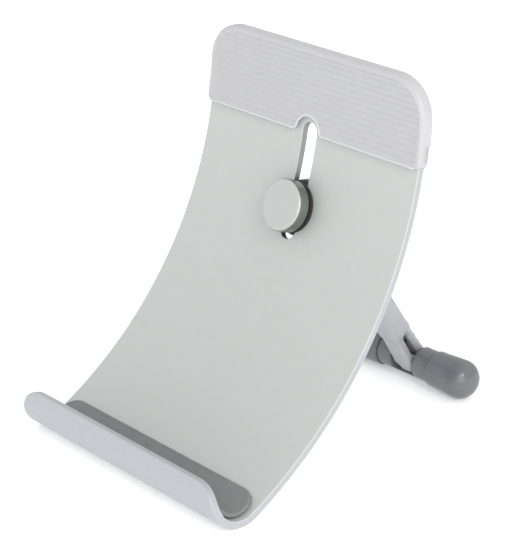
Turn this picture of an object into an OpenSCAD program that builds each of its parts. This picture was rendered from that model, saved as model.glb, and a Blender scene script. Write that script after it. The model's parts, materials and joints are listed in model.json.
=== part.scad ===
// Phone stand: a curved aluminium back plate with a folded front lip, held up
// by a cast leg that slides along a slot and is locked by a thumb knob.
// +Z is up, +Y points to the back, and the origin lies on the desk at the
// middle of the stand's box.

/* [Back plate] */
// Width of the plate
plate_w = 80; // [70:1:95]
// Sheet thickness
plate_t = 2; // [1.5:0.1:2.5]
// Inner radius of the bend at the foot of the plate
bend_r = 7; // [6:0.5:10]
// Radius of the plate's hollow front face
curve_r = 107.5; // [100:0.5:120]
// Slope of the plate where the bend ends, in degrees
rise = 30.1; // [26:0.1:34]
// Length of the curved part, measured along its front face
curve_len = 118.5; // [112:0.5:124]
// Radius of the plate's upper corners
corner_r = 10; // [6:0.5:12]

/* [Front lip] */
// Angle of the bend under the lip, in degrees
lip_angle = 99; // [90:1:104]
// Length of the lip's flat part
lip_len = 2.6; // [2:0.2:5]
// Radius of the lip's corners
lip_corner = 7.4; // [5:0.2:8]

/* [Slot] */
// Width of the slot
slot_w = 5.3; // [5:0.1:6]
// Distance along the face from the bend to the slot's lower end
slot_low = 68.2; // [64:0.2:69]
// Distance along the face from the bend to the slot's upper end
slot_high = 99.5; // [97:0.5:104]

/* [Top cap] */
// Height of the cap on the front, along the face
cap_h = 22.4; // [20:0.2:24]
// Height of the cap on the back, along the face
cap_back_h = 16.4; // [12:0.2:18]
// Wall over the two faces
cap_wall = 1.1; // [0.8:0.1:1.6]
// Wall over the sides and the top edge
cap_rim = 0.7; // [0.5:0.1:1.2]
// Radius of the notch round the slot's end
notch_r = 4.2; // [3.6:0.1:5]

/* [Lip pad] */
// Pad thickness
pad_t = 1.2; // [0.8:0.1:1.5]
// Thickness of the adhesive layer
tape_t = 0.3; // [0.2:0.1:0.4]
// Gap between the pad's ends and the sides of the plate
pad_gap = 1.7; // [0.5:0.1:3]
// Radius of the pad's corners
pad_corner = 5; // [3:0.5:6]

/* [Knob] */
// Distance along the face from the bend to the knob's axis
knob_s = 76.8; // [76:0.1:84]
// Knob diameter
knob_d = 14; // [12:0.5:14]
// Knob thickness
knob_h = 3.7; // [3.4:0.1:5]
// Diameter of the clamping stud
stud_d = 4; // [3.5:0.5:4]

/* [Leg and feet] */
// Height of the foot bar's axis, which is also the radius of the feet
foot_r = 5.6; // [5:0.1:6.5]
// Distance from the bend's lowest line back to the foot bar's axis
bar_back = 97.8; // [94:0.1:101]
// Diameter of the steel bar
bar_d = 4; // [3:0.5:4.5]
// Distance from the middle of the stand to the end of each foot
foot_end = 23.9; // [21:0.1:28]
// Distance from the middle of the stand to the inner end of each foot
foot_start = 9.8; // [8:0.1:11]

/* [Hidden] */

$fn = 64;
band_fn = 360;
// A hair of overlap, so that shapes that meet become one solid
eps = 0.01;
far = 200;

// The bend's axis, and the point and axis from which the curved face starts
bend_z = bend_r + plate_t;
start_y = bend_r * sin(rise);
start_z = bend_z - bend_r * cos(rise);
arc_y = start_y - curve_r * sin(rise);
arc_z = start_z + curve_r * cos(rise);

// The lip leans back, so the bend is the foremost part and the feet the rearmost
foot_rear = bar_back + foot_r;
mid_y = (foot_rear - bend_z) / 2;

cap_low = curve_len + cap_rim - cap_h;
cap_back_low = curve_len + cap_rim - cap_back_h;
cap_corner = corner_r + cap_rim;
notch_flare = 1.2;

// How far round the bend the pad reaches, and how far up the plate
pad_lip_angle = 56;
pad_rise_len = 4.3;
tape_lip_angle = 43;
tape_inset = 1.6;

// Radial clearance of a running fit, and clearance of what slides on the plate
fit_gap = 0.05;
slide_gap = 0.1;
grip_d = knob_d;
grip_t = 1.2;
thrust_d = 12;
thrust_t = 0.4;
knob_base = grip_t + thrust_t;
knob_edge = 0.8;
insert_d = 6.4;
insert_h = knob_h - 0.9;
stud_tip = knob_base + insert_h - 0.4;

// Disc behind the plate, with a key that stays below the front face
shoe_d = 15;
shoe_t = 1.6;
key_w = slot_w - 2 * slide_gap;
key_len = 8;
key_recess = 0.3;

// Round head of the leg, and how deep the stud is pressed into it
head_d = 16;
head_t = 6.6;
head_front = -plate_t - slide_gap - shoe_t;
stud_seat = 5;

sleeve_r = 4.7;
foot_waist_r = 5.2;
foot_round = 4.8;
bar_half = foot_end - 4;

// Opening in the sleeve for the leg's fork, and how far below the bar it starts
window_half = 4.3;
window_low = 2.2;

// Screw that closes the fork on the bar: its height above the bar's axis, and
// its seat's and its tip's distance behind the leg's middle line
screw_d = 2.5;
screw_head_d = 4.5;
screw_head_h = 1.1;
screw_socket_d = 1.73;
screw_up = 8;
screw_seat = 2.4;
screw_tip = -2.9;

// Where the arm's middle line meets the head, seen from the foot bar
knob_rise = heading(knob_s);
root_back = 9.8;
root_y = arc_y + (curve_r + root_back) * sin(knob_rise);
root_z = arc_z - (curve_r + root_back) * cos(knob_rise);
leg_tilt = atan2(bar_back - root_y, root_z - foot_r);
leg_len = norm([bar_back - root_y, root_z - foot_r]);

// Ends of the arm and of the fork's two prongs: half width, places to the back,
// place up the leg, edge radius
arm_top = [3.9, [-1.5, 1.5], leg_len, 2];
arm_foot = [3.9, [-1.5, 1.5], 13.5, 1.95];
front_top = [3.9, [-1.8], 16, 1.7];
front_middle = [3.7, [-2.4], 1.6, 1.3];
front_tip = [2.3, [-2.5], -0.9, 1.2];
rear_top = [3.85, [1.9], 14, 1.5];
rear_tip = [3.9, [2.3], -0.8, 1.25];

// Slope of the front face at a distance s along it
function heading(s) = rise + s / curve_r * 180 / PI;

// Puts a shape on the front face: local Z points out of the face, local Y up it
module on_face(s) {
    a = heading(s);
    translate([0, arc_y + curve_r * sin(a), arc_z - curve_r * cos(a)])
        rotate([a, 0, 0])
            children();
}

// Local Z points out of the lip's inner face, local -Y runs up the lip
module on_lip() {
    translate([0, -bend_r * sin(lip_angle), bend_z - bend_r * cos(lip_angle)])
        rotate([-lip_angle, 0, 0])
            children();
}

// Local Z points up the leg from the foot bar's axis, local Y to the back
module on_leg() {
    translate([0, bar_back, foot_r])
        rotate([leg_tilt, 0, 0])
            children();
}

// A piece of a tube about the curved face's axis, between two places on the face
module curve_band(r_in, r_out, w, s_from, s_to) {
    from = heading(s_from);
    translate([0, arc_y, arc_z])
        rotate([0, 90, 0])
            rotate([0, 0, from])
                rotate_extrude(angle = heading(s_to) - from, $fn = band_fn)
                    translate([r_in, -w / 2])
                        square([r_out - r_in, w]);
}

// Slopes a degree apart between two slopes
function slopes(from, to) = concat([for (a = [from : 1 : to - eps]) a], [to]);

// One side of the sheet's profile at a height above its inner face, from a slope
// in the bend to a place on the curved face
function profile_side(height, from, s_to) = concat(
    [for (a = slopes(from, rise))
        [(bend_r - height) * sin(a), bend_z - (bend_r - height) * cos(a)]],
    [for (a = slopes(rise + 1, heading(s_to)))
        [arc_y + (curve_r - height) * sin(a), arc_z - (curve_r - height) * cos(a)]]);

// The lip's end at a height above its inner face
function lip_end(height) =
    [-(bend_r - height) * sin(lip_angle) - lip_len * cos(lip_angle),
     bend_z - (bend_r - height) * cos(lip_angle) + lip_len * sin(lip_angle)];

function reversed(list) = [for (i = [len(list) - 1 : -1 : 0]) list[i]];

// Extrudes an outline in Y and Z along X
module along_x(w, outline) {
    translate([-w / 2, 0, 0])
        rotate([90, 0, 90])
            linear_extrude(w)
                polygon(outline);
}

// A cylinder along X
module x_rod(r, x_from, x_to) {
    translate([x_from, 0, 0])
        rotate([0, 90, 0])
            cylinder(r = r, h = x_to - x_from);
}

// What is cut away to round one corner, which lies at +X and +Y of the origin
module corner_cut(r, depth) {
    difference() {
        translate([0, 0, -depth])
            cube([r + 2, r + 2, 2 * depth]);
        translate([0, 0, -depth - 1])
            cylinder(r = r, h = 2 * depth + 2);
    }
}

// Rounds the two corners at the upper end of a band on the face
module top_corners(half_w, s_end, r, depth) {
    for (side = [0, 1])
        mirror([side, 0, 0])
            on_face(s_end - r)
                translate([half_w - r, 0, 0])
                    corner_cut(r, depth);
}

// Rounds the two upper corners of something on the lip
module lip_corners(half_w, reach, r, depth) {
    for (side = [0, 1])
        mirror([side, 0, 0])
            on_lip()
                translate([half_w - r, -(reach - r), 0])
                    mirror([0, 1, 0])
                        corner_cut(r, depth);
}

// The whole sheet before its lip is rounded and its slot is cut
module sheet() {
    difference() {
        along_x(plate_w, concat(
            [lip_end(0)], profile_side(0, -lip_angle, curve_len),
            reversed(profile_side(-plate_t, -lip_angle, curve_len)), [lip_end(-plate_t)]));
        top_corners(plate_w / 2, curve_len, corner_r, 5);
    }
}

// Flat outline with round ends, along Y
module stadium(w, length) {
    for (end = [-1, 1])
        translate([0, end * (length - w) / 2])
            circle(d = w);
    square([w - 2 * eps, length - w], center = true);
}

// Straight slot with round ends, as long as the stretch from s_low to s_high
module slot_cut(w, s_low, s_high, depth) {
    on_face((s_low + s_high) / 2)
        translate([0, 0, -depth])
            linear_extrude(2 * depth)
                stadium(w, s_high - s_low);
}

module back_plate() {
    color([0.80, 0.81, 0.80])
    difference() {
        sheet();
        lip_corners(plate_w / 2, lip_len, lip_corner, 4);
        slot_cut(slot_w, slot_low, slot_high, 8);
    }
}

module top_cap() {
    inner = curve_r - cap_wall;
    outer = curve_r + plate_t + cap_wall;
    full_w = plate_w + 2 * cap_rim;
    color([0.80, 0.80, 0.81])
    difference() {
        curve_band(inner, outer, full_w, cap_low, curve_len + cap_rim);
        top_corners(full_w / 2, curve_len + cap_rim, cap_corner, 6);
        sheet();
        // The back wall stops higher up than the front wall
        curve_band(curve_r + plate_t - eps, outer + 1, full_w + 2, cap_low - 1, cap_back_low);
        // Notch round the slot's upper end, with a flared mouth
        on_face(slot_high - slot_w / 2)
            translate([0, 0, -1])
                cylinder(r = notch_r, h = 4);
        on_face(cap_low)
            translate([-notch_r, -3, -1])
                cube([2 * notch_r, slot_high - slot_w / 2 - cap_low + 3, 4]);
        on_face(cap_low)
            translate([-notch_r - notch_flare, -3, -1])
                cube([2 * (notch_r + notch_flare), 3 + notch_flare, 4]);
    }
}

// A layer in the bend between two heights above the metal
module pad_layer(low, high, inset, lip_reach) {
    half_w = plate_w / 2 - pad_gap - inset;
    s_end = pad_rise_len - inset;
    difference() {
        along_x(2 * half_w, concat(profile_side(high, -lip_reach, s_end),
                                   reversed(profile_side(low, -lip_reach, s_end))));
        for (side = [0, 1])
            mirror([side, 0, 0])
                on_face(s_end - pad_corner)
                    translate([half_w - pad_corner, 0, 0])
                        corner_cut(pad_corner, 3);
    }
}

module lip_pad() {
    color([0.44, 0.46, 0.46])
    pad_layer(tape_t, tape_t + pad_t, 0, pad_lip_angle);
}

module pad_tape() {
    color([0.15, 0.15, 0.15])
    pad_layer(0, tape_t, tape_inset, tape_lip_angle);
}

module knob() {
    color([0.70, 0.71, 0.70])
    on_face(knob_s)
        translate([0, 0, knob_base])
            difference() {
                union() {
                    cylinder(d = knob_d, h = knob_h - knob_edge);
                    cylinder(d = knob_d - 2 * knob_edge, h = knob_h);
                    translate([0, 0, knob_h - knob_edge])
                        rotate_extrude()
                            translate([knob_d / 2 - knob_edge, 0])
                                circle(r = knob_edge);
                }
                translate([0, 0, -1])
                    cylinder(d = insert_d, h = insert_h + 1);
            }
}

module knob_insert() {
    color([0.78, 0.62, 0.30])
    on_face(knob_s)
        translate([0, 0, knob_base])
            difference() {
                cylinder(d = insert_d, h = insert_h);
                translate([0, 0, -1])
                    cylinder(d = stud_d + 2 * fit_gap, h = insert_h + 2);
            }
}

module thrust_washer() {
    color([0.62, 0.63, 0.65])
    on_face(knob_s)
        translate([0, 0, grip_t])
            difference() {
                cylinder(d = thrust_d, h = thrust_t);
                translate([0, 0, -1])
                    cylinder(d = stud_d + 2 * slide_gap, h = thrust_t + 2);
            }
}

// A soft washer whose underside follows the plate
module grip_washer() {
    color([0.16, 0.16, 0.17])
    difference() {
        on_face(knob_s)
            translate([0, 0, -1])
                difference() {
                    cylinder(d = grip_d, h = grip_t + 1);
                    translate([0, 0, -1])
                        cylinder(d = stud_d + 2 * slide_gap, h = grip_t + 3);
                }
        curve_band(curve_r - slide_gap, curve_r + far / 2, plate_w, knob_s - 20, knob_s + 20);
    }
}

module clamp_stud() {
    color([0.66, 0.67, 0.70])
    on_face(knob_s)
        translate([0, 0, head_front - stud_seat])
            cylinder(d = stud_d, h = stud_tip - head_front + stud_seat);
}

// Nylon disc behind the plate, with a long key that fits the slot
module slide_shoe() {
    color([0.25, 0.26, 0.28])
    difference() {
        union() {
            difference() {
                on_face(knob_s)
                    translate([0, 0, head_front])
                        cylinder(d = shoe_d, h = shoe_t + 2);
                curve_band(curve_r - far / 4, curve_r + plate_t + slide_gap, plate_w,
                           knob_s - 20, knob_s + 20);
            }
            on_face(knob_s)
                translate([0, 0, head_front + eps])
                    linear_extrude(-head_front - key_recess - eps)
                        stadium(key_w, key_len);
        }
        on_face(knob_s)
            translate([0, 0, head_front - 1])
                cylinder(d = stud_d, h = -head_front + 2);
    }
}

// A web of the leg with round edges, in the leg's own frame
module leg_web(top, foot) {
    hull()
        for (side = [-1, 1], end = [top, foot], back = end[1])
            translate([side * (end[0] - end[3]), back, end[2]])
                sphere(r = end[3], $fn = 32);
}

// Local Z points out of the leg's back along the clasp screw
module on_screw() {
    on_leg()
        translate([0, 0, screw_up])
            rotate([-90, 0, 0])
                children();
}

// Cast leg: a round head and an arm that forks into two prongs round the bar
module leg() {
    color([0.70, 0.70, 0.72])
    difference() {
        union() {
            on_face(knob_s)
                translate([0, 0, head_front - head_t])
                    cylinder(d = head_d, h = head_t);
            on_leg() {
                leg_web(arm_top, arm_foot);
                leg_web(front_top, front_middle);
                leg_web(front_middle, front_tip);
                leg_web(rear_top, rear_tip);
            }
        }
        // Seats for the shoe, the stud, the bar and the screw
        on_face(knob_s) {
            translate([0, 0, head_front])
                cylinder(d = head_d + 4, h = 12);
            translate([0, 0, head_front - stud_seat])
                cylinder(d = stud_d, h = stud_seat + 1);
        }
        translate([0, bar_back, foot_r])
            x_rod(bar_d / 2, -foot_start, foot_start);
        on_screw() {
            translate([0, 0, screw_tip])
                cylinder(d = screw_d, h = screw_seat - screw_tip + 1);
            translate([0, 0, screw_seat])
                cylinder(d = screw_head_d + 2 * fit_gap, h = 12);
        }
    }
}

module foot_bar() {
    color([0.60, 0.61, 0.63])
    translate([0, bar_back, foot_r])
        x_rod(bar_d / 2, -bar_half, bar_half);
}

// Draws the fork's prongs together on the bar
module clasp_screw() {
    color([0.25, 0.25, 0.27])
    on_screw()
        difference() {
            union() {
                translate([0, 0, screw_tip])
                    cylinder(d = screw_d, h = screw_seat - screw_tip + eps);
                translate([0, 0, screw_seat])
                    cylinder(d = screw_head_d, h = screw_head_h);
            }
            translate([0, 0, screw_seat + screw_head_h / 3])
                cylinder(d = screw_socket_d, h = screw_head_h, $fn = 6);
        }
}

// Rubber sleeve on the bar, open round the fork and whole below it
module bar_sleeve() {
    color([0.42, 0.43, 0.44])
    difference() {
        translate([0, bar_back, foot_r])
            difference() {
                x_rod(sleeve_r, -foot_start, foot_start);
                x_rod(bar_d / 2, -foot_start - 1, foot_start + 1);
            }
        on_leg()
            translate([-window_half, -10, -window_low])
                cube([2 * window_half, 20, 20]);
    }
}

// Rubber foot: a flaring body with a rounded end and a blind hole for the bar
module foot(side) {
    full_x = foot_end - foot_round;
    round_overlap = 2;
    color([0.40, 0.41, 0.42])
    translate([0, bar_back, foot_r])
        mirror([side < 0 ? 1 : 0, 0, 0])
            difference() {
                rotate([0, 90, 0])
                    rotate_extrude() {
                        polygon([[0, foot_start], [foot_waist_r, foot_start], [foot_r, full_x],
                                 [foot_r - foot_round, foot_end], [0, foot_end]]);
                        intersection() {
                            translate([foot_r - foot_round, full_x])
                                circle(r = foot_round);
                            translate([0, full_x - round_overlap])
                                square([foot_r, foot_round + round_overlap]);
                        }
                    }
                x_rod(bar_d / 2, foot_start - 1, bar_half);
            }
}

module left_foot() {
    foot(-1);
}

module right_foot() {
    foot(1);
}

// Moves the whole stand so that the origin is at the middle of its box
module place() {
    translate([0, -mid_y, 0])
        children();
}

place() back_plate();
place() top_cap();
place() lip_pad();
place() pad_tape();
place() knob();
place() knob_insert();
place() thrust_washer();
place() grip_washer();
place() clamp_stud();
place() slide_shoe();
place() leg();
place() foot_bar();
place() clasp_screw();
place() bar_sleeve();
place() left_foot();
place() right_foot();
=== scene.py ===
import json
from math import asin, atan2, ceil, cos, degrees, hypot, pi, radians, sin, sqrt

import bmesh
import bpy
import numpy as np
from mathutils import Matrix, Vector


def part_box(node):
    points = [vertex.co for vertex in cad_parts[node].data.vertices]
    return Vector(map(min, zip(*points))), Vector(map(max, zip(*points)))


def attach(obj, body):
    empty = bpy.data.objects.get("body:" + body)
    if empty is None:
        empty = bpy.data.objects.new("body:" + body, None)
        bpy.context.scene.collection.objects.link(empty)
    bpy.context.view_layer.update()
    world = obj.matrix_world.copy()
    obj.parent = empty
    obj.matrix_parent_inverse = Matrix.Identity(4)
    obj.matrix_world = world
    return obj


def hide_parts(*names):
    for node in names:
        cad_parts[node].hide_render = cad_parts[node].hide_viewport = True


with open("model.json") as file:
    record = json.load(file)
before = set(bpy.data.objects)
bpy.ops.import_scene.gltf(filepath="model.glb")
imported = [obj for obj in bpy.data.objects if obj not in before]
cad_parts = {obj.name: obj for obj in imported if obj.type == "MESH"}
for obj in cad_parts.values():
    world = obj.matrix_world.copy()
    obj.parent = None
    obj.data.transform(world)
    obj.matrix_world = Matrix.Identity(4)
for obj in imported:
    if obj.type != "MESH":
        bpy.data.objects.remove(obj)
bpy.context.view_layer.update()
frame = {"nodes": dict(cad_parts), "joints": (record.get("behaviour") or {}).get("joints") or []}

# Lengths are in millimetres until a mesh is made, and MM turns them into metres.
MM = 0.001

# ---------------------------------------------------------------- sizes

PLATE_T = 2.0
BEND_R = 7.0
CURVE_LEN = 118.5
PLATE_CORNER_R = 10.0
LIP_ANGLE = radians(99)
LIP_LEN = 2.6
LIP_CORNER_R = 7.4
PLATE_EDGE_R = 0.3
LIP_EDGE_R = 0.4
SLOT_W = 5.3
SLOT_LOW = 68.2
SLOT_HIGH = 99.5
SLOT_EDGE_R = 0.25
# Where the slot's wall gets painted shade, a darker metal: its reach past the slot and its depth from each
# face
SLOT_SHADE_REACH = 0.05
SLOT_SHADE_DEPTH = 0.2

CAP_WALL = 1.1
CAP_RIM = 0.7
CAP_H = 22.4
CAP_BACK_H = 16.4
CAP_EDGE_R = 1.25
CAP_FOOT_R = 1.6
CAP_FOOT_EDGE_R = 0.7
CAP_GAP = 0.02
RIB_PITCH = 1.6
RIB_DEPTH = 0.3
NOTCH_R = 4.7
NOTCH_TOP = 101.4
NOTCH_FILLET = 1.0
# How far a cutter stands clear of what it cuts
CLEAR = 5.0
# Where the cap's front is divided, so that its ribs can fade out at the corners and the notch
ROWS_PER_RIB = 8
CORNER_CUTS_FROM = 28.0
CORNER_CUT_STEP = 0.8
NOTCH_CUTS = (1.5, 3.0, 4.5, 5.3, 6.1, 7.0)
# How far the ribs stay from the bottom edge and the notch, how wide their ends are,
# and how far the smooth rim, a shade lighter as a painted highlight, reaches past the round edge
RIB_BASE_GAP = 0.8
RIB_NOTCH_GAP = 0.5
RIB_END = 0.45
RIM_REACH = 0.3
BEAD_R = 0.34
BEAD_END = 0.35
BEAD_END_LEN = 0.2

PAD_T = 1.2
TAPE_T = 0.3
PAD_SIDE_GAP = 1.7
PAD_CORNER_R = 5.0
PAD_RISE = 4.3
PAD_LIP_ANGLE = radians(56)
PAD_RIM_W = 0.55
PAD_RIM_H = 0.14
PAD_RIM_SLOPE = 0.35
PAD_EDGE_R = 0.4
PAD_HIDDEN_CORNER_R = 1.0

KNOB_R = 7.0
KNOB_BASE = 1.6
KNOB_H = 3.7
KNOB_EDGE_R = 0.8
KNOB_CHAMFER = 0.3
# Narrow strips below and inside the round edge, and the strips of the edge that take the side's darker
# material, painted shade
KNOB_SIDE_STRIP = 0.6
KNOB_FACE_STRIP = 0.5
KNOB_SIDE_ROWS = 3
GRIP_R = 6.98
GRIP_T = 1.2
GRIP_EDGE_R = 0.25
STUD_R = 2.0
SLIDE_GAP = 0.1

HEAD_R = 8.0
HEAD_T = 6.6
HEAD_FRONT = -3.7
HEAD_EDGE_R = 1.3
ARM_ROOT = 9.8
SLEEVE_R = 4.7
ARM_HALF_DEPTH = 1.5
ARM_TOP_HALF_W = 3.9
ARM_TOP_EDGE_R = 2.0
# Ends of the arm and the prongs: half width, place to the back, place up the leg, edge radius
ARM_FOOT = (3.9, 0.0, 13.5, 1.95)
FRONT_PRONG = ((3.6, -1.7, 16.0, 1.45), (3.7, -2.4, 1.6, 1.3))
FRONT_TIP = ((3.7, -2.4, 1.6, 1.3), (2.3, -2.5, -0.9, 1.2))
REAR_PRONG = ((3.5, 1.75, 14.0, 1.25), (3.9, 2.3, -0.8, 1.25))
SCREW_UP = 8.0
SCREW_SEAT = 2.4
SCREW_RECESS_DEPTH = 8.0
SCREW_RECESS_R = 2.37
BORE_GAP = 0.03
WINDOW_HALF = 4.3
WINDOW_LOW = 2.2
# Widths of the fillets and round edges where the leg's shapes meet
HEAD_FILLET = 3.0
TIP_FILLET = 0.4
FORK_FILLET = 1.2
SEAT_EDGE = 0.25
BORE_EDGE = 0.15
RECESS_EDGE = 0.2
RECESS_FLOOR_EDGE = 0.05
# The sleeve's round edges, and how far it stops short of each foot
SLEEVE_EDGE = 0.3
SLEEVE_BORE_EDGE = 0.1
WINDOW_EDGE = 0.25
SLEEVE_END_GAP = 0.12
# Cell sizes of the nets over the leg and the sleeve
LEG_CELL = 0.36
SLEEVE_CELL = 0.3

FOOT_WAIST_R = 5.2
FOOT_ROUND = 4.8
FOOT_EDGE_R = 0.35
FOOT_BORE_R = 3.0
FOOT_GAP = 0.01
# The shares of the way from the waist to the round nose between which the swell is drawn
SWELL_START = 0.12
SWELL_END = 0.95
SWELL_STEPS = 8

# ---------------------------------------------------------------- places, from the frame


def joint(name):
    return next(j for j in frame["joints"] if j["name"] == name)


def box_mm(node):
    low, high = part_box(node)
    return np.array(low) / MM, np.array(high) / MM


arc_centre = np.array(joint("leg_height")["pos_m"]) / MM
knob_foot = np.array(joint("knob_turn")["pos_m"]) / MM
curve_r = hypot(knob_foot[1] - arc_centre[1], knob_foot[2] - arc_centre[2])
bend_z = BEND_R + PLATE_T
bend_y = arc_centre[1] + sqrt((curve_r - BEND_R) ** 2 - (arc_centre[2] - bend_z) ** 2)
rise = atan2(bend_y - arc_centre[1], arc_centre[2] - bend_z)
bend_len = BEND_R * (rise + LIP_ANGLE)
lip_end = -bend_len - LIP_LEN
half_w = box_mm("back_plate")[1][0]
knob_heading = atan2(knob_foot[1] - arc_centre[1], arc_centre[2] - knob_foot[2])

cap_half_w = box_mm("top_cap")[1][0]
cap_top = CURVE_LEN + CAP_RIM
cap_low = cap_top - CAP_H
cap_back_low = cap_top - CAP_BACK_H

bar_low, bar_high = box_mm("foot_bar")
bar_y, bar_z = ((bar_low + bar_high) / 2)[1:]
bar_r = (bar_high[2] - bar_low[2]) / 2
foot_low, foot_high = box_mm("right_foot")
foot_start, foot_end = foot_low[0], foot_high[0]
foot_r = foot_high[2] - bar_z - FOOT_GAP


def on_sheet(points):
    """Places of points given as x, distance along the sheet's inner face and height above it."""
    x, s, h = np.asarray(points, float).T
    on_bend = s < 0
    on_lip = s < -bend_len
    heading = rise + np.where(on_bend, np.maximum(s, -bend_len) / BEND_R, s / curve_r)
    radius = np.where(on_bend, BEND_R, curve_r) - h
    y = np.where(on_bend, bend_y, arc_centre[1]) + radius * np.sin(heading)
    z = np.where(on_bend, bend_z, arc_centre[2]) - radius * np.cos(heading)
    up_lip = np.where(on_lip, -bend_len - s, 0)
    return np.stack([x, y - up_lip * cos(LIP_ANGLE), z + up_lip * sin(LIP_ANGLE)], 1)


def knob_frame():
    """Local Z points out of the plate along the stud, local Y up the plate."""
    place = Matrix.Translation(Vector(knob_foot)) @ Matrix.Rotation(knob_heading, 4, "X")
    return np.array(place)


def bar_frame():
    """Local Z points along the foot bar to the right."""
    return np.array(Matrix.Translation((0, bar_y, bar_z)) @ Matrix.Rotation(pi / 2, 4, "Y"))


def moved(points, place):
    return np.asarray(points) @ place[:3, :3].T + place[:3, 3]


# ---------------------------------------------------------------- materials

# The part of a noise's range that most of its values fall in
NOISE_LOW = 0.3
NOISE_HIGH = 0.7
BUMP_STRENGTH = 0.5


def new_material(name, colour, roughness, metallic=0.0):
    made = bpy.data.materials.new(name)
    made.use_nodes = True
    shader = made.node_tree.nodes["Principled BSDF"]
    shader.inputs["Base Color"].default_value = (*colour, 1)
    shader.inputs["Roughness"].default_value = roughness
    shader.inputs["Metallic"].default_value = metallic
    return made


def noise(material, scale, detail=2.0, stretch=(1, 1, 1)):
    """A noise texture in the object's own coordinates, which are metres."""
    nodes, links = material.node_tree.nodes, material.node_tree.links
    where = nodes.new("ShaderNodeTexCoord")
    mapping = nodes.new("ShaderNodeMapping")
    mapping.inputs["Scale"].default_value = stretch
    texture = nodes.new("ShaderNodeTexNoise")
    texture.inputs["Scale"].default_value = scale
    texture.inputs["Detail"].default_value = detail
    links.new(where.outputs["Object"], mapping.inputs["Vector"])
    links.new(mapping.outputs["Vector"], texture.inputs["Vector"])
    return texture.outputs["Fac"]


def remap(material, source, low, high):
    """Spreads the middle of a noise's range over low to high."""
    nodes, links = material.node_tree.nodes, material.node_tree.links
    made = nodes.new("ShaderNodeMapRange")
    made.inputs["From Min"].default_value = NOISE_LOW
    made.inputs["From Max"].default_value = NOISE_HIGH
    made.inputs["To Min"].default_value = low
    made.inputs["To Max"].default_value = high
    links.new(source, made.inputs["Value"])
    return made.outputs["Result"]


def vary_roughness(material, source, low, high):
    shader = material.node_tree.nodes["Principled BSDF"]
    material.node_tree.links.new(remap(material, source, low, high), shader.inputs["Roughness"])


def vary_colour(material, source, dark, light):
    nodes, links = material.node_tree.nodes, material.node_tree.links
    mix = nodes.new("ShaderNodeMix")
    mix.data_type = "RGBA"
    mix.inputs["A"].default_value = (*dark, 1)
    mix.inputs["B"].default_value = (*light, 1)
    links.new(remap(material, source, 0, 1), mix.inputs["Factor"])
    links.new(mix.outputs["Result"], nodes["Principled BSDF"].inputs["Base Color"])


def add_bump(material, source, depth_mm):
    nodes, links = material.node_tree.nodes, material.node_tree.links
    bump = nodes.new("ShaderNodeBump")
    bump.inputs["Strength"].default_value = BUMP_STRENGTH
    bump.inputs["Distance"].default_value = depth_mm * MM
    links.new(source, bump.inputs["Height"])
    links.new(bump.outputs["Normal"], nodes["Principled BSDF"].inputs["Normal"])


def shades(colour, change):
    return [c * (1 - change) for c in colour], [min(1, c * (1 + change)) for c in colour]


def grained(name, colour, roughness, metallic=0.0, grain=1500.0, depth_mm=0.02, spread=0.05,
            tint=0.03, stretch=(1, 1, 1)):
    """A material with a fine grain in its bump, and coarser changes in its colour and gloss."""
    made = new_material(name, colour, roughness, metallic)
    vary_colour(made, noise(made, grain / 8, 3), *shades(colour, tint))
    vary_roughness(made, noise(made, grain / 4, 2), roughness - spread, roughness + spread)
    add_bump(made, noise(made, grain, 2, stretch), depth_mm)
    return made


PLATE = grained("satin_aluminium", (0.53, 0.548, 0.535), 0.55, 0.3, grain=3200, depth_mm=0.006, tint=0.012)
CAP = grained("cap_plastic", (0.49, 0.49, 0.50), 0.5, grain=2200, depth_mm=0.01, tint=0.015)
# Painted highlight: the smooth rim is glossier, and a shade lighter to stand for the light it catches
CAP_RIM_LIT = grained("cap_rim_painted_light", (0.50, 0.50, 0.51), 0.4, grain=2200, depth_mm=0.006, tint=0.01)
# Painted shade: a darker, bluer copy of the plate's metal for the sheet's back and the lip's outer face
PLATE_BACK_SHADED = grained("satin_back_painted_shade", (0.455, 0.47, 0.495), 0.5, 0.4, grain=3200, depth_mm=0.006, tint=0.012)
# Painted shade: a darker metal for the slot's wall, with a streaked bump
SLOT_WALL_SHADE = grained("slot_wall_painted_shade", (0.30, 0.31, 0.31), 0.45, 0.9, grain=1200, depth_mm=0.01, stretch=(1, 1, 4))
# Painted highlight: the bead is the cap's own plastic, made lighter to stand for the light along it
BEAD_LIT = grained("bead_painted_highlight", (0.60, 0.60, 0.61), 0.4, grain=2200, depth_mm=0.006, tint=0.01)
PAD = grained("pad_rubber", (0.195, 0.21, 0.208), 0.75, grain=2600, depth_mm=0.03, tint=0.05)
TAPE = grained("tape", (0.03, 0.03, 0.032), 0.8, grain=1800, depth_mm=0.02)
KNOB_FACE = grained("knob_face", (0.53, 0.545, 0.535), 0.45, 0.5, grain=3400, depth_mm=0.006, tint=0.012)
# Painted shade: the side is glossier and turned, and its colour is made much darker than the face
KNOB_SIDE_SHADED = grained("knob_side_painted_shade", (0.26, 0.28, 0.26), 0.38, 1.0, grain=1600, depth_mm=0.008,
                    stretch=(1, 1, 6))
BRASS = grained("brass", (0.62, 0.45, 0.18), 0.35, 1.0, grain=900, depth_mm=0.01, stretch=(1, 1, 8))
STEEL = grained("turned_steel", (0.52, 0.53, 0.55), 0.34, 1.0, grain=900, depth_mm=0.01, stretch=(1, 1, 8))
SCREW = grained("black_oxide", (0.06, 0.06, 0.065), 0.42, 0.9, grain=1800, depth_mm=0.01)
GRIP = grained("grip_rubber", (0.012, 0.013, 0.014), 0.7, grain=2600, depth_mm=0.02, tint=0.06)
SHOE = grained("nylon", (0.09, 0.09, 0.095), 0.5, grain=1800, depth_mm=0.01, tint=0.05)
CASTING = grained("casting", (0.42, 0.42, 0.445), 0.5, 0.35, grain=1300, depth_mm=0.02, tint=0.03)
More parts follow.
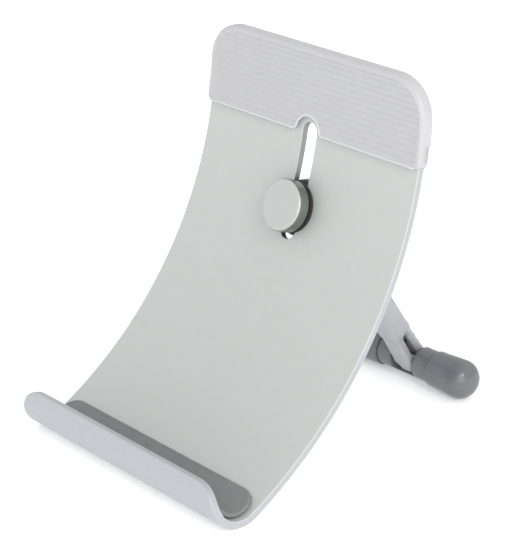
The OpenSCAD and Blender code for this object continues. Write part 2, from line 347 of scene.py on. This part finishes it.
FOOT = grained("foot_rubber", (0.14, 0.152, 0.162), 0.2, grain=1500, depth_mm=0.008, tint=0.05)

# ---------------------------------------------------------------- mesh tools

LATHE_STEPS = 96
# How the bend and the curve are divided, and the weight that keeps flat faces flat
BEND_STEPS = 30
CURVE_STEP = 1.5
FLAT_WEIGHT = 80
# Step for measuring a field's slope, and the least squared slope that is trusted
PROBE = 0.05
LEAST_SLOPE = 0.25
PULLS = 3


def make_piece(name, points_mm, faces, body, materials, replaced=()):
    """A mesh in metres that rides a body and stands in for the CAD nodes it replaces."""
    mesh = bpy.data.meshes.new(name)
    mesh.from_pydata([tuple(p * MM) for p in np.asarray(points_mm, float)], [], faces)
    mesh.validate()
    for material in materials:
        mesh.materials.append(material)
    work = bmesh.new()
    work.from_mesh(mesh)
    bmesh.ops.recalc_face_normals(work, faces=work.faces)
    work.to_mesh(mesh)
    work.free()
    mesh.polygons.foreach_set("use_smooth", [True] * len(mesh.polygons))
    piece = bpy.data.objects.new(name, mesh)
    bpy.context.scene.collection.objects.link(piece)
    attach(piece, body)
    if replaced:
        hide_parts(*replaced)
    return piece


def paint(piece, points, faces, index, test):
    """Gives another material to the faces whose middle, in the sheet's places, passes the test."""
    for polygon, face in zip(piece.data.polygons, faces):
        if test(*np.mean(points[list(face)], axis=0)):
            polygon.material_index = index


def weigh_normals(piece):
    """Flat faces keep their own normal, and only the round edges between them turn."""
    modifier = piece.modifiers.new("weigh", "WEIGHTED_NORMAL")
    modifier.mode = "FACE_AREA"
    modifier.weight = FLAT_WEIGHT
    modifier.keep_sharp = True
    return piece


def arc(x, y, radius, start, end, steps):
    """Points on an arc between two angles in degrees."""
    angles = np.radians(np.linspace(start, end, steps + 1))
    return [(x + radius * cos(a), y + radius * sin(a)) for a in angles]


def round_section(low, high, steps=4):
    """The rings of a sheet with round edges: inset and height, for an edge radius."""
    def rings(radius):
        turns = [pi / 2 * k / steps for k in range(steps + 1)]
        under = [(radius * (1 - sin(a)), low + radius * (1 - cos(a))) for a in turns]
        over = [(radius * (1 - cos(a)), high - radius * (1 - sin(a))) for a in turns]
        return under + over
    return rings


def slab(loops, rings):
    """A flat sheet in x, s and h. A loop is a list of x, s and edge radius, with the sheet on its left,
    and rings(radius) gives the insets and heights that run round its edge."""
    made = bmesh.new()
    low_edges, high_edges = [], []
    for loop in loops:
        corners = np.array([p[:2] for p in loop])
        ahead = np.roll(corners, -1, 0) - corners
        ahead /= np.linalg.norm(ahead, axis=1)[:, None]
        left = np.stack([-ahead[:, 1], ahead[:, 0]], 1)
        before = np.roll(left, 1, 0)
        inward = (left + before) / (1 + (left * before).sum(1))[:, None]
        section = [rings(p[2]) for p in loop]
        rows = []
        for k in range(len(section[0])):
            row = []
            for i in range(len(loop)):
                inset, height = section[i][k]
                x, s = corners[i] + inward[i] * inset
                row.append(made.verts.new((x, s, height)))
            rows.append(row)
        count = len(loop)
        for lower, upper in zip(rows, rows[1:]):
            for i in range(count):
                j = (i + 1) % count
                made.faces.new((lower[i], lower[j], upper[j], upper[i]))
        for row, edges in ((rows[0], low_edges), (rows[-1], high_edges)):
            edges += [made.edges.get((row[i], row[(i + 1) % count])) for i in range(count)]
    for edges in (low_edges, high_edges):
        bmesh.ops.triangle_fill(made, edges=edges, use_beauty=True, use_dissolve=False)
    bmesh.ops.recalc_face_normals(made, faces=made.faces)
    return made


def cut_rows(made, places, axis=1):
    """Cuts the sheet across at each place along x (axis 0) or s (axis 1)."""
    normal = Vector((1 - axis, axis, 0))
    for place in places:
        everything = made.verts[:] + made.edges[:] + made.faces[:]
        bmesh.ops.bisect_plane(made, geom=everything, dist=1e-5, plane_co=normal * place, plane_no=normal)


def drop_diagonals(made):
    """Dissolves the slanting edges that the filling left across the two flat sides."""
    slanting = []
    for edge in made.edges:
        across = edge.verts[0].co - edge.verts[1].co
        flat = len(edge.link_faces) == 2 and all(abs(f.normal.z) > 0.99999 for f in edge.link_faces)
        if flat and abs(across.y) > 1e-4 and abs(across.x) > 1e-4:
            slanting.append(edge)
    bmesh.ops.dissolve_edges(made, edges=slanting, use_verts=False)


def bend_rows():
    """Where a sheet is cut so that it can follow the bend and the curve."""
    in_bend = [-bend_len * k / BEND_STEPS for k in range(BEND_STEPS + 1)]
    on_curve = [CURVE_STEP * k for k in range(1, ceil(CURVE_LEN / CURVE_STEP))]
    return in_bend + on_curve


def take(made):
    """Points and faces of a bmesh, which is then freed."""
    made.verts.index_update()
    points = np.array([v.co for v in made.verts])
    faces = [[v.index for v in f.verts] for f in made.faces]
    made.free()
    return points, faces


def lathe(profile):
    """Turns a profile of radius and height round Z. Its ends may lie on the axis."""
    steps = LATHE_STEPS
    points, rows = [], []
    for radius, height in profile:
        if radius < 1e-6:
            rows.append([len(points)] * steps)
            points.append((0, 0, height))
            continue
        rows.append([len(points) + k for k in range(steps)])
        points += [(radius * cos(2 * pi * k / steps), radius * sin(2 * pi * k / steps), height)
                   for k in range(steps)]
    faces = []
    for lower, upper in zip(rows, rows[1:]):
        for k in range(steps):
            j = (k + 1) % steps
            face = []
            for corner in (lower[k], lower[j], upper[j], upper[k]):
                if corner not in face:
                    face.append(corner)
            faces.append(face)
    return np.array(points, float), faces


def flat_cutter(outline, low, high):
    """A straight prism in x, s and h, as a bmesh."""
    return slab([[(x, s, 0.0) for x, s in outline]], lambda radius: [(0, low), (0, high)])


def subtract(made, cutter):
    """The bmesh made less the bmesh cutter. Both are used up."""
    objects = []
    for work in (made, cutter):
        mesh = bpy.data.meshes.new("work")
        work.to_mesh(mesh)
        work.free()
        holder = bpy.data.objects.new("work", mesh)
        bpy.context.scene.collection.objects.link(holder)
        objects.append(holder)
    boolean = objects[0].modifiers.new("cut", "BOOLEAN")
    boolean.operation = "DIFFERENCE"
    boolean.solver = "EXACT"
    boolean.object = objects[1]
    bpy.context.view_layer.update()
    cut = objects[0].evaluated_get(bpy.context.evaluated_depsgraph_get()).to_mesh()
    result = bmesh.new()
    result.from_mesh(cut)
    for holder in objects:
        mesh = holder.data
        bpy.data.objects.remove(holder)
        bpy.data.meshes.remove(mesh)
    return result


def surface_net(field, low, high, cell):
    """Quads over the surface where field is zero; field is negative inside."""
    low = np.array(low, float)
    counts = np.ceil((np.array(high) - low) / cell).astype(int) + 1
    index = np.stack(np.meshgrid(*[np.arange(n) for n in counts], indexing="ij"), -1)
    value = field(low + cell * index.reshape(-1, 3)).reshape(counts)
    total = np.zeros((*(counts - 1), 3))
    hits = np.zeros(counts - 1)
    quads = []
    for axis in range(3):
        u, v = (axis + 1) % 3, (axis + 2) % 3
        first = np.take(value, np.arange(counts[axis] - 1), axis)
        second = np.take(value, np.arange(1, counts[axis]), axis)
        crossing = (first < 0) != (second < 0)
        spots = np.argwhere(crossing)
        share = first[crossing] / (first[crossing] - second[crossing])
        step = np.zeros((len(spots), 3))
        step[:, axis] = share
        places = low + cell * (spots + step)
        corners = []
        for back_u, back_v in ((1, 1), (0, 1), (0, 0), (1, 0)):
            around = spots.copy()
            around[:, u] -= back_u
            around[:, v] -= back_v
            np.add.at(total, tuple(around.T), places)
            np.add.at(hits, tuple(around.T), 1)
            corners.append(np.ravel_multi_index(tuple(around.T), counts - 1))
        quad = np.stack(corners, 1)
        inward = first[crossing] >= 0
        quad[inward] = quad[inward][:, ::-1]
        quads.append(quad)
    used = hits > 0
    number = np.full(hits.size, -1)
    number[used.ravel()] = np.arange(used.sum())
    points = total[used] / hits[used][:, None]
    for _ in range(PULLS):
        points = pull_to_surface(field, points, cell)
    return points, number[np.concatenate(quads)].tolist()


def pull_to_surface(field, points, cell):
    """One step of each point down the field's slope towards where it is zero."""
    value = field(points)
    slope = np.stack([(field(points + PROBE * axis) - field(points - PROBE * axis)) / (2 * PROBE)
                      for axis in np.eye(3)], 1)
    length = np.maximum((slope ** 2).sum(1), LEAST_SLOPE)
    step = slope * (value / length)[:, None]
    return points - np.clip(step, -cell / 2, cell / 2)


def melt(a, b, width):
    """The union of two fields, with a fillet."""
    share = np.clip(0.5 + 0.5 * (b - a) / width, 0, 1)
    return b * (1 - share) + a * share - width * share * (1 - share)


def carve(a, b, width):
    """Field a less field b, with a round edge."""
    return -melt(-a, b, width)


# ---------------------------------------------------------------- plate


def build_plate():
    lip_r, top_r = LIP_CORNER_R, PLATE_CORNER_R
    outline = []
    for x, y in arc(-half_w + lip_r, lip_end + lip_r, lip_r, 180, 270, 12):
        down = (lip_end + lip_r - y) / lip_r
        outline.append((x, y, PLATE_EDGE_R + (LIP_EDGE_R - PLATE_EDGE_R) * down))
    outline += [(-x, y, r) for x, y, r in reversed(outline)]
    top_corners = arc(half_w - top_r, CURVE_LEN - top_r, top_r, 0, 90, 14)
    top_corners += arc(top_r - half_w, CURVE_LEN - top_r, top_r, 90, 180, 14)
    outline += [(x, y, PLATE_EDGE_R) for x, y in top_corners]
    end_r = SLOT_W / 2
    slot = arc(0, SLOT_HIGH - end_r, end_r, 180, 0, 24) + arc(0, SLOT_LOW + end_r, end_r, 0, -180, 24)
    hole = [(x, y, SLOT_EDGE_R) for x, y in slot]
    made = slab([outline, hole], round_section(-PLATE_T, 0))
    cut_rows(made, bend_rows())
    drop_diagonals(made)
    points, faces = take(made)
    piece = make_piece("plate_sheet", on_sheet(points), faces, "stand_plate",
                       [PLATE, SLOT_WALL_SHADE, PLATE_BACK_SHADED], ["back_plate"])
    # The sheet's back, with the lip's outer face, gets the darker, bluer copy: painted shade
    paint(piece, points, faces, 2, lambda x, s, h: h < -PLATE_EDGE_R)
    # The slot's wall gets the darker metal, painted shade
    paint(piece, points, faces, 1,
          lambda x, s, h: abs(x) < SLOT_W / 2 + SLOT_SHADE_REACH and SLOT_LOW < s < SLOT_HIGH
          and -PLATE_T + SLOT_SHADE_DEPTH < h < -SLOT_SHADE_DEPTH)
    return weigh_normals(piece)


# ---------------------------------------------------------------- cap


def notch_path(radius, top, base, fillet, steps=20):
    """Left to right round the notch: out of the base line, over the arch and back into it."""
    middle = top - radius
    centre_x = sqrt((radius + fillet) ** 2 - (base + fillet - middle) ** 2)
    lean = degrees(asin((base + fillet - middle) / (radius + fillet)))
    left = arc(-centre_x, base + fillet, fillet, -90, -lean, 6)
    arch = arc(0, middle, radius, 180 - lean, lean, steps)
    right = [(-x, y) for x, y in reversed(left)]
    return left + arch[1:-1] + right


def fade(distance):
    """From 0 at the edge of the ribs to 1 inside them."""
    share = min(1.0, max(0.0, distance / RIB_END))
    return share * share * (3 - 2 * share)


def cap_side(x, s):
    """Distance of a place on the cap's front from the cap's outline."""
    top_r = PLATE_CORNER_R + CAP_RIM
    across = max(abs(x) - (cap_half_w - top_r), 0)
    along = max(s - (cap_top - top_r), 0)
    if across > 0 and along > 0:
        return top_r - hypot(across, along)
    return min(cap_half_w - abs(x), cap_top - s)


def groove_ribs(made):
    """Sinks grooves across the cap's front, which end short of its edges."""
    for vert in made.verts:
        x, s, h = vert.co
        if h < CAP_WALL - 1e-3:
            continue
        from_notch = hypot(x, max(s - NOTCH_TOP + NOTCH_R, 0)) - NOTCH_R
        reach = min(cap_side(x, s) - CAP_EDGE_R, s - cap_low - RIB_BASE_GAP, from_notch - RIB_NOTCH_GAP)
        wave = 0.5 + 0.5 * cos(2 * pi * (s - cap_low) / RIB_PITCH)
        vert.co.z -= RIB_DEPTH * wave * fade(reach)


def build_cap():
    top_r = PLATE_CORNER_R + CAP_RIM
    foot_corner = arc(CAP_FOOT_R - cap_half_w, cap_low + CAP_FOOT_R, CAP_FOOT_R, 180, 270, 6)
    outline = [(x, y, CAP_FOOT_EDGE_R) for x, y in foot_corner]
    outline += [(-x, y, r) for x, y, r in reversed(outline)]
    top_corners = arc(cap_half_w - top_r, cap_top - top_r, top_r, 0, 90, 18)
    top_corners += arc(top_r - cap_half_w, cap_top - top_r, top_r, 90, 180, 18)
    outline += [(x, y, CAP_EDGE_R) for x, y in top_corners]
    back = -PLATE_T - CAP_WALL
    made = slab([outline], round_section(back, CAP_WALL))
    gap = CAP_GAP
    inner_r = PLATE_CORNER_R
    below = cap_low - CLEAR
    pocket = [(-half_w - gap, below), (half_w + gap, below)]
    pocket += arc(half_w - inner_r, CURVE_LEN - inner_r, inner_r + gap, 0, 90, 14)
    pocket += arc(inner_r - half_w, CURVE_LEN - inner_r, inner_r + gap, 90, 180, 14)
    made = subtract(made, flat_cutter(pocket, -PLATE_T - gap, gap))
    far = cap_half_w + CLEAR
    trim = [(-far, below), (far, below), (far, cap_back_low), (-far, cap_back_low)]
    made = subtract(made, flat_cutter(trim, back - CLEAR, -PLATE_T))
    notch = notch_path(NOTCH_R, NOTCH_TOP, cap_low, NOTCH_FILLET)
    mouth = [(notch[-1][0], below), (notch[0][0], below)]
    made = subtract(made, flat_cutter((notch + mouth)[::-1], -gap / 2, CLEAR))
    cut_rows(made, np.arange(cap_low, cap_top, RIB_PITCH / ROWS_PER_RIB))
    sides = list(np.arange(CORNER_CUTS_FROM, cap_half_w, CORNER_CUT_STEP)) + list(NOTCH_CUTS)
    cut_rows(made, sorted([-x for x in sides] + [0.0] + sides), axis=0)
    drop_diagonals(made)
    groove_ribs(made)
    points, faces = take(made)
    piece = make_piece("cap_shell", on_sheet(points), faces, "stand_plate", [CAP, CAP_RIM_LIT],
                       ["top_cap"])
    # The rim gets the glossier, lighter copy: partly painted highlight
    paint(piece, points, faces, 1, lambda x, s, h: cap_side(x, s) < CAP_EDGE_R + RIM_REACH)
    return weigh_normals(piece)


def tube(path, radius, steps=12):
    """A round bead along a path of x, s and h."""
    path = np.array(path, float)
    ahead = np.gradient(path, axis=0)
    ahead /= np.linalg.norm(ahead, axis=1)[:, None]
    up = np.array([0.0, 0.0, 1.0])
    side = np.cross(ahead, up)
    points = []
    for k, place in enumerate(path):
        shrink = BEAD_END if k in (0, len(path) - 1) else 1.0
        for turn in range(steps):
            a = 2 * pi * turn / steps
            points.append(place + radius * shrink * (cos(a) * side[k] + sin(a) * up))
    faces = []
    for k in range(len(path) - 1):
        here, there = k * steps, (k + 1) * steps
        for turn in range(steps):
            after = (turn + 1) % steps
            faces.append([here + turn, here + after, there + after, there + turn])
    faces.append(list(range(steps)))
    faces.append([(len(path) - 1) * steps + turn for turn in range(steps)])
    return np.array(points), faces


def build_cap_bead():
    base = cap_low + BEAD_R / 2
    arch = notch_path(NOTCH_R, NOTCH_TOP, base, NOTCH_FILLET, 28)
    reach = cap_half_w - CAP_FOOT_R
    left = [(-reach, base), (BEAD_END_LEN - reach, base)]
    left += [(x, base) for x in np.linspace(2 - reach, arch[0][0] - 1, 16)]
    right = [(-x, y) for x, y in reversed(left)]
    path = [(x, y, CAP_WALL - BEAD_R / 2) for x, y in left + arch + right]
    points, faces = tube(path, BEAD_R)
    # The bead takes the lighter plastic, a painted highlight
    return make_piece("cap_bead", on_sheet(points), faces, "stand_plate", [BEAD_LIT])


# ---------------------------------------------------------------- pad


def build_pad():
    low, high = TAPE_T, TAPE_T + PAD_T
    half = half_w - PAD_SIDE_GAP
    start = -BEND_R * (rise + PAD_LIP_ANGLE)
    hidden = PAD_HIDDEN_CORNER_R

    def rings(radius):
        rim = [(PAD_RIM_W, high), (PAD_RIM_W + PAD_RIM_SLOPE, high - PAD_RIM_H)]
        return round_section(low, high)(radius) + rim

    outline = arc(hidden - half, start + hidden, hidden, 180, 270, 5)
    outline += [(-x, y) for x, y in reversed(outline)]
    corner = PAD_CORNER_R
    outline += arc(half - corner, PAD_RISE - corner, corner, 0, 90, 12)
    outline += arc(corner - half, PAD_RISE - corner, corner, 90, 180, 12)
    made = slab([[(x, y, PAD_EDGE_R) for x, y in outline]], rings)
    cut_rows(made, [s for s in bend_rows() if start < s < PAD_RISE])
    drop_diagonals(made)
    points, faces = take(made)
    piece = make_piece("pad_skin", on_sheet(points), faces, "stand_plate", [PAD], ["lip_pad"])
    return weigh_normals(piece)


# ---------------------------------------------------------------- knob


def build_knob():
    top = KNOB_BASE + KNOB_H
    profile = [(0, KNOB_BASE), (STUD_R + 1, KNOB_BASE), (KNOB_R - KNOB_CHAMFER, KNOB_BASE),
               (KNOB_R, KNOB_BASE + KNOB_CHAMFER)]
    profile += [(KNOB_R, top - KNOB_EDGE_R - KNOB_SIDE_STRIP)]
    first_face_row = len(profile) + KNOB_SIDE_ROWS
    profile += arc(KNOB_R - KNOB_EDGE_R, top - KNOB_EDGE_R, KNOB_EDGE_R, 0, 90, 8)
    profile += [(KNOB_R - KNOB_EDGE_R - KNOB_FACE_STRIP, top), (KNOB_R / 2, top), (0, top)]
    points, faces = lathe(profile)
    piece = make_piece("knob_body", moved(points, knob_frame()), faces, "thumb_knob",
                       [KNOB_FACE, KNOB_SIDE_SHADED], ["knob"])
    # The side and the lower strips of the edge get the darker metal: painted shade
    for polygon in piece.data.polygons:
        row = polygon.index // LATHE_STEPS
        polygon.material_index = 0 if row >= first_face_row else 1
    return weigh_normals(piece)


def build_grip():
    edge = GRIP_EDGE_R
    bottom = SLIDE_GAP
    inner = STUD_R + SLIDE_GAP
    profile = [(inner, bottom), (GRIP_R - edge, bottom)]
    profile += arc(GRIP_R - edge, bottom + edge, edge, -90, 0, 4)[1:]
    profile += arc(GRIP_R - edge, GRIP_T - edge, edge, 0, 90, 4)
    profile += [(inner, GRIP_T), (inner, bottom)]
    points, faces = lathe(profile)
    # The underside follows the plate
    lift = curve_r - np.sqrt(curve_r ** 2 - points[:, 1] ** 2)
    points[:, 2] += lift * np.clip((GRIP_T - points[:, 2]) / (GRIP_T - bottom), 0, 1)
    piece = make_piece("grip_ring", moved(points, knob_frame()), faces, "washers", [GRIP],
                       ["grip_washer"])
    return weigh_normals(piece)


# ---------------------------------------------------------------- leg


def leg_frame():
    """Local Z points up the leg from the foot bar, local Y to the back."""
    root = moved([(0, 0, -ARM_ROOT)], knob_frame())[0]
    tilt = atan2(bar_y - root[1], root[2] - bar_z)
    length = hypot(bar_y - root[1], root[2] - bar_z)
    return np.array(Matrix.Translation((0, bar_y, bar_z)) @ Matrix.Rotation(tilt, 4, "X")), length


def into(points, place):
    """Points as seen from a place's own axes."""
    return (points - place[:3, 3]) @ place[:3, :3]


def web(points, top, foot, half_depth=0.0):
    """Field of a web with round edges. An end is its half width, its place to the back and up the leg,
    and its edge radius."""
    top, foot = np.array(top, float), np.array(foot, float)
    run = top[1:3] - foot[1:3]
    length = np.hypot(*run)
    along = ((points[:, 1:3] - foot[1:3]) @ run) / length
    share = np.clip(along / length, 0, 1)
    radius = foot[3] + (top[3] - foot[3]) * share
    half = foot[0] + (top[0] - foot[0]) * share - radius
    aside = (points[:, 2] - foot[2]) * run[0] / length - (points[:, 1] - foot[1]) * run[1] / length
    deep = np.maximum(np.abs(aside) - half_depth, 0)
    over = along - share * length
    wide = np.maximum(np.abs(points[:, 0]) - half, 0)
    return np.sqrt(wide ** 2 + deep ** 2 + over ** 2) - radius


def disc(points, radius, low, high, edge):
    """Field of a disc with round edges round Z."""
    wide = np.hypot(points[:, 0], points[:, 1]) - (radius - edge)
    tall = np.abs(points[:, 2] - (low + high) / 2) - ((high - low) / 2 - edge)
    outside = np.hypot(np.maximum(wide, 0), np.maximum(tall, 0))
    return outside + np.minimum(np.maximum(wide, tall), 0) - edge


def leg_field(points):
    place, length = leg_frame()
    own = into(points, place)
    face = into(points, knob_frame())
    solid = disc(face, HEAD_R, HEAD_FRONT - HEAD_T, HEAD_FRONT + HEAD_EDGE_R, HEAD_EDGE_R)
    arm_top = (ARM_TOP_HALF_W, 0.0, length, ARM_TOP_EDGE_R)
    solid = melt(solid, web(own, arm_top, ARM_FOOT, ARM_HALF_DEPTH), HEAD_FILLET)
    front = melt(web(own, *FRONT_PRONG), web(own, *FRONT_TIP), TIP_FILLET)
    prongs = np.minimum(front, web(own, *REAR_PRONG))
    solid = melt(solid, prongs, FORK_FILLET)
    solid = carve(solid, HEAD_FRONT - face[:, 2], SEAT_EDGE)
    solid = carve(solid, np.hypot(own[:, 1], own[:, 2]) - bar_r - BORE_GAP, BORE_EDGE)
    screw_place = Matrix.Translation((0, 0, SCREW_UP)) @ Matrix.Rotation(-pi / 2, 4, "X")
    recess = disc(into(own, np.array(screw_place)), SCREW_RECESS_R, SCREW_SEAT,
                  SCREW_SEAT + SCREW_RECESS_DEPTH, RECESS_FLOOR_EDGE)
    return carve(solid, recess, RECESS_EDGE)


def build_leg():
    low, high = box_mm("leg")
    cell = LEG_CELL
    points, faces = surface_net(leg_field, low - 1, high + 1, cell)
    return make_piece("leg_casting", points, faces, "leg_assembly", [CASTING], ["leg"])


# ---------------------------------------------------------------- foot bar


def sleeve_field(points):
    """A tube on the bar, with an opening for the leg's fork that leaves it whole below."""
    place, _ = leg_frame()
    own = into(points, place)
    end = foot_start - SLEEVE_END_GAP
    solid = disc(into(points, bar_frame()), SLEEVE_R, -end, end, SLEEVE_EDGE)
    solid = carve(solid, np.hypot(own[:, 1], own[:, 2]) - bar_r - BORE_GAP, SLEEVE_BORE_EDGE)
    window = np.maximum(np.abs(own[:, 0]) - WINDOW_HALF, -WINDOW_LOW - own[:, 2])
    return carve(solid, window, WINDOW_EDGE)


def build_sleeve():
    low, high = box_mm("bar_sleeve")
    cell = SLEEVE_CELL
    points, faces = surface_net(sleeve_field, low - 1, high + 1, cell)
    return make_piece("sleeve_tube", points, faces, "leg_assembly", [FOOT], ["bar_sleeve"])


def build_foot(side, node):
    """Swells from its waist to its full radius, and ends in a round nose."""
    edge = FOOT_EDGE_R
    waist = foot_start
    full = foot_end - FOOT_ROUND
    profile = [(FOOT_BORE_R, waist), (FOOT_WAIST_R - edge, waist)]
    profile += arc(FOOT_WAIST_R - edge, waist + edge, edge, -90, 0, 4)[1:]
    for share in np.linspace(SWELL_START, SWELL_END, SWELL_STEPS):
        swell = share * share * (3 - 2 * share)
        radius = FOOT_WAIST_R + (foot_r - FOOT_WAIST_R) * swell
        profile.append((radius, waist + (full - waist) * share))
    profile += arc(foot_r - FOOT_ROUND, full, FOOT_ROUND, 0, 90, 16)
    profile += [(0, foot_end), (0, waist + 1), (FOOT_BORE_R, waist + 1), (FOOT_BORE_R, waist)]
    points, faces = lathe(profile)
    points[:, 2] *= side
    return make_piece(node + "_skin", moved(points, bar_frame()), faces, "leg_assembly", [FOOT],
                      [node])


# ---------------------------------------------------------------- kept CAD nodes


def finish_nodes():
    for node, material in (("pad_tape", TAPE), ("knob_insert", BRASS), ("thrust_washer", STEEL),
                           ("clamp_stud", STEEL), ("slide_shoe", SHOE), ("foot_bar", STEEL),
                           ("clasp_screw", SCREW)):
        for place in frame["nodes"][node].material_slots:
            place.material = material


# ---------------------------------------------------------------- studio

# Metres and degrees. The camera is in front of the stand and to its right, and looks down on it.
CAMERA_PLACE = (0.38565, -0.34598, 0.24015)
CAMERA_PITCH = 68.368
CAMERA_HEADING = 49.246
CAMERA_TILT = 1.1
CAMERA_LENS = 136.55
CAMERA_SENSOR = 36
FLOOR_REACH = 6.0
FLOOR_COLOUR = (0.93, 0.93, 0.93)
FLOOR_GLOW = 0.3
WORLD_STRENGTH = 0.84
LAMP_AIM = (0, 0, 0.05)
# Name, place, size and power
LAMPS = (
    ("key", (0.95, -0.55, 0.5), 1.1, 6.2),
    ("fill", (-0.8, -0.6, 0.7), 1.2, 0.6),
    ("glint", (0.8, -0.25, 0.7), 0.18, 1.2),
    ("back", (0.2, 0.9, 0.9), 1.2, 1.2),
)


def build_camera(scene):
    data = bpy.data.cameras.new("camera")
    camera = bpy.data.objects.new("camera", data)
    scene.collection.objects.link(camera)
    data.lens = CAMERA_LENS
    data.sensor_width = CAMERA_SENSOR
    camera.location = CAMERA_PLACE
    turn = Matrix.Rotation(radians(CAMERA_TILT), 4, "X") @ Matrix.Rotation(radians(CAMERA_HEADING), 4, "Z")
    camera.rotation_euler = (turn @ Matrix.Rotation(radians(CAMERA_PITCH), 4, "X")).to_euler()
    scene.camera = camera


def build_floor(scene):
    """A pale sheet that glows faintly, so that the stand's shadow stays light."""
    mesh = bpy.data.meshes.new("floor")
    r = FLOOR_REACH
    mesh.from_pydata([(-r, -r, 0), (r, -r, 0), (r, r, 0), (-r, r, 0)], [], [(0, 1, 2, 3)])
    floor = bpy.data.objects.new("floor", mesh)
    scene.collection.objects.link(floor)
    paper = new_material("pale_floor", FLOOR_COLOUR, 0.9)
    glow = paper.node_tree.nodes["Principled BSDF"].inputs
    glow["Emission Color"].default_value = (1, 1, 1, 1)
    glow["Emission Strength"].default_value = FLOOR_GLOW
    mesh.materials.append(paper)


def build_lamp(scene, name, place, size, power):
    data = bpy.data.lights.new(name, "AREA")
    data.shape = "DISK"
    data.size = size
    data.energy = power
    lamp = bpy.data.objects.new(name, data)
    lamp.location = place
    lamp.rotation_euler = (Vector(LAMP_AIM) - Vector(place)).to_track_quat("-Z", "Y").to_euler()
    scene.collection.objects.link(lamp)


def build_studio():
    scene = bpy.context.scene
    build_camera(scene)
    build_floor(scene)
    world = bpy.data.worlds.new("studio")
    world.use_nodes = True
    background = world.node_tree.nodes["Background"].inputs
    background["Color"].default_value = (1, 1, 1, 1)
    background["Strength"].default_value = WORLD_STRENGTH
    scene.world = world
    for lamp in LAMPS:
        build_lamp(scene, *lamp)
    scene.view_settings.view_transform = "Standard"


build_studio()
build_plate()
build_cap()
build_cap_bead()
build_pad()
build_knob()
build_grip()
build_leg()
build_sleeve()
build_foot(1, "right_foot")
build_foot(-1, "left_foot")
finish_nodes()
